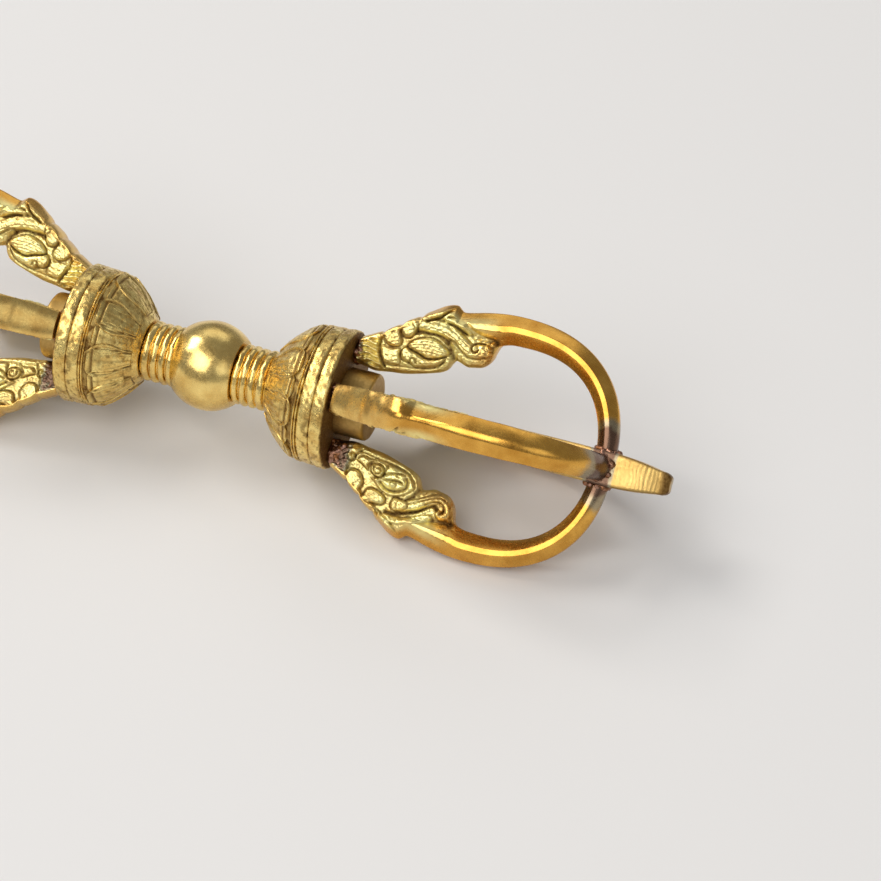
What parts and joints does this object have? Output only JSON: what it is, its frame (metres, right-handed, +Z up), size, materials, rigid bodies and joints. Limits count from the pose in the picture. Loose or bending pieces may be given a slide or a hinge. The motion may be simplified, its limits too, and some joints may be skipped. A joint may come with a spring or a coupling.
{
  "type": "dorje vajra",
  "caption": "Brass ritual hand sceptre: a globe grip between lotus bulbs, with curved prongs that spring from sea-monster heads and close on a square central prong at each end.",
  "frame": {"origin": "middle of the globe, on the axis", "axes": "+X along the axis towards the right-hand tip, +Z up when it lies on a table on its lower prongs, +Y away from the viewer"},
  "size_m": [0.1282, 0.0244, 0.0244],
  "materials": {
    "grip_brass": "polished, slightly rough from casting",
    "bar_brass": "filed and heat-tinted",
    "prong_brass": "polished blades, satin carved heads with dark crevices",
    "braze": "dark, lumpy braze"
  },
  "bodies": {
    "root": {"core_rod": "bar_brass", "globe": "grip_brass", "ringed_collar_right": "grip_brass", "ringed_collar_left": "grip_brass", "lotus_bulb_right": "grip_brass", "lotus_bulb_left": "grip_brass", "socket_boss_right": "bar_brass", "socket_boss_left": "bar_brass", "central_prong_right": "bar_brass", "central_prong_left": "bar_brass", "outer_prong_near_upper_right": "prong_brass", "outer_prong_near_lower_right": "prong_brass", "outer_prong_far_lower_right": "prong_brass", "outer_prong_far_upper_right": "prong_brass", "outer_prong_near_upper_left": "prong_brass", "outer_prong_near_lower_left": "prong_brass", "outer_prong_far_lower_left": "prong_brass", "outer_prong_far_upper_left": "prong_brass", "root_braze_right": "braze", "root_braze_left": "braze", "tip_braze_right": "braze", "tip_braze_left": "braze"}
  },
  "joints": []
}
